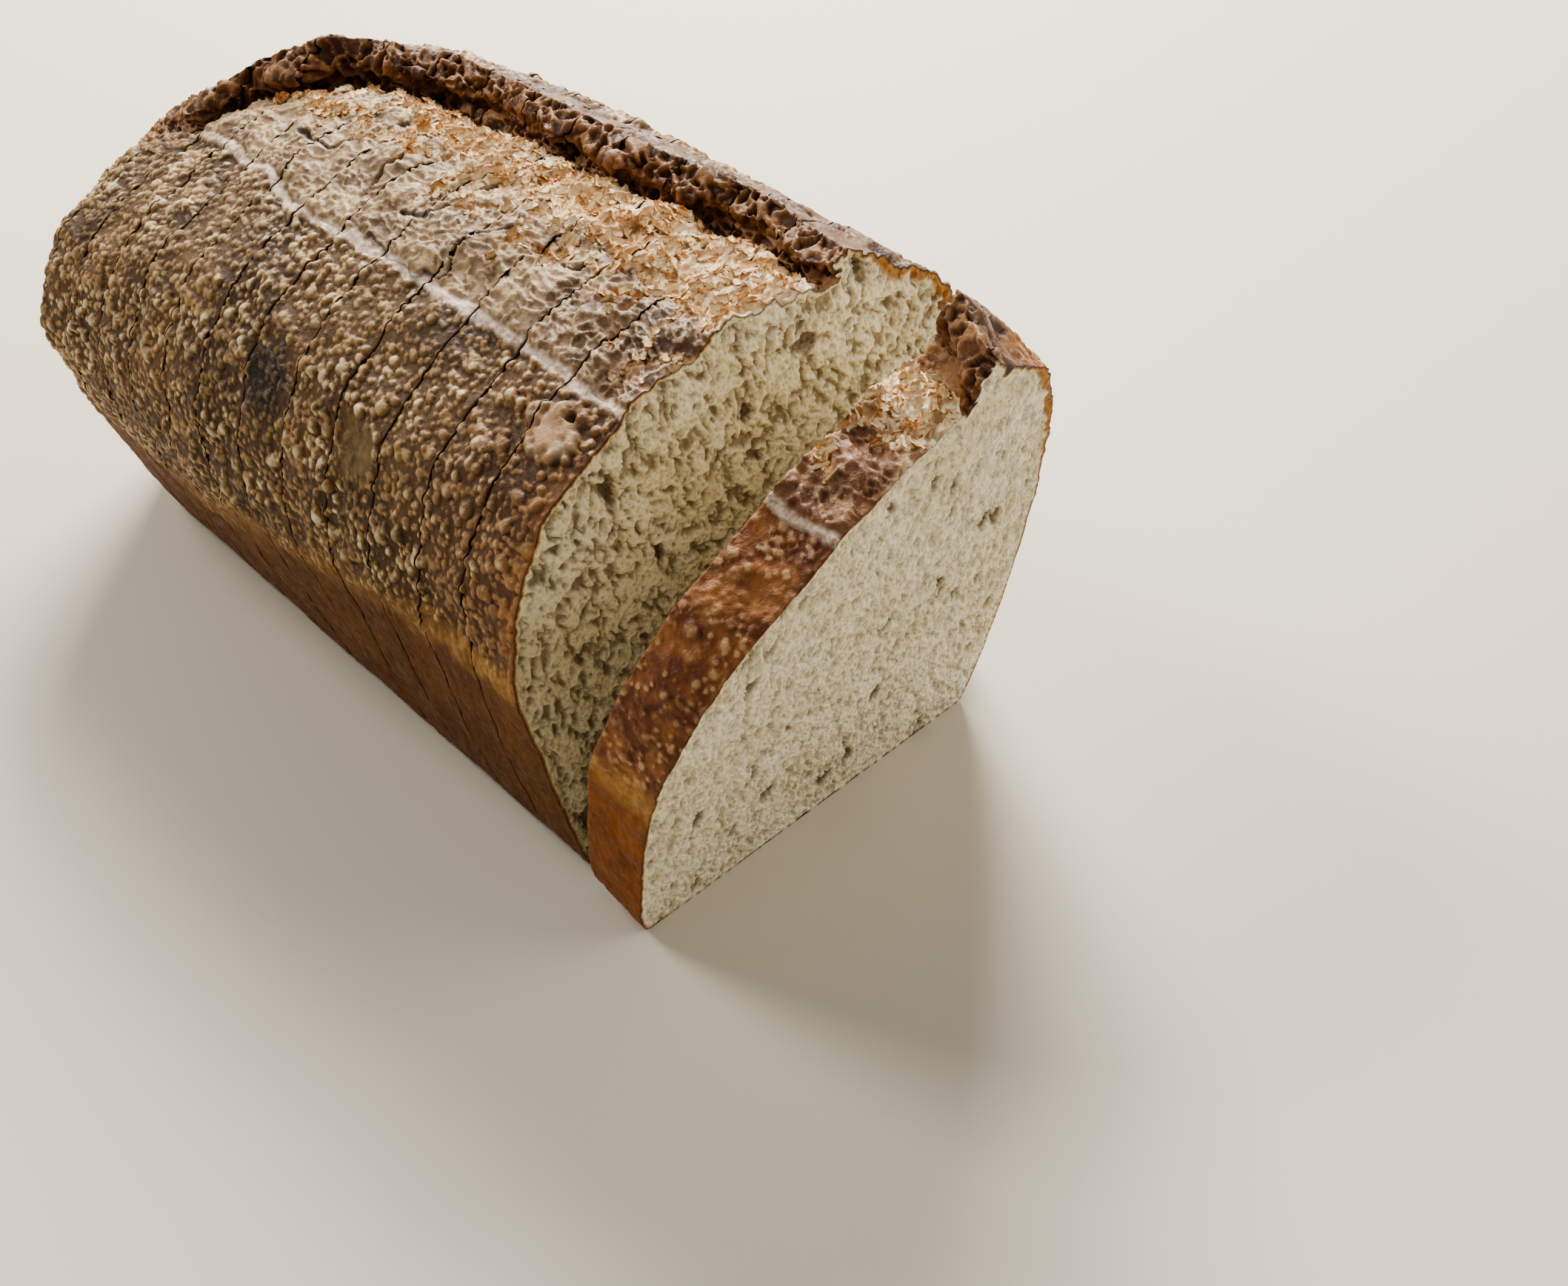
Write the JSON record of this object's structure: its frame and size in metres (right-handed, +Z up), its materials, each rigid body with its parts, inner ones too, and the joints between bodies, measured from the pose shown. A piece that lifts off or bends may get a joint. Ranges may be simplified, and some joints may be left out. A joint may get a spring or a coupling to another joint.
{
  "type": "sliced sourdough loaf",
  "caption": "Tin-baked sourdough loaf cut across into even slices that keep the loaf's shape, with a lifted ear of crust along its top and the first slice leaning off the cut face",
  "frame": {"origin": "Level with the bread's underside, below the middle of the whole thing's bounding box.", "axes": "+Y runs along the loaf, from the cut face and its leaning slice to the whole end. +Z is up. +X is across the loaf, towards the side that the ear of crust leans to."},
  "size_m": [0.1182, 0.2454, 0.1074],
  "materials": {
    "crust": "matte",
    "crumb": "matte"
  },
  "bodies": {
    "root": {"leaning_slice": "crumb", "slice_01": "crust", "slice_02": "crust", "slice_03": "crust", "slice_04": "crust", "slice_05": "crust", "slice_06": "crust", "slice_07": "crust", "slice_08": "crust", "slice_09": "crust", "slice_10": "crust", "slice_11": "crust", "slice_12": "crust", "slice_13": "crust", "end_piece": "crust"}
  },
  "joints": []
}
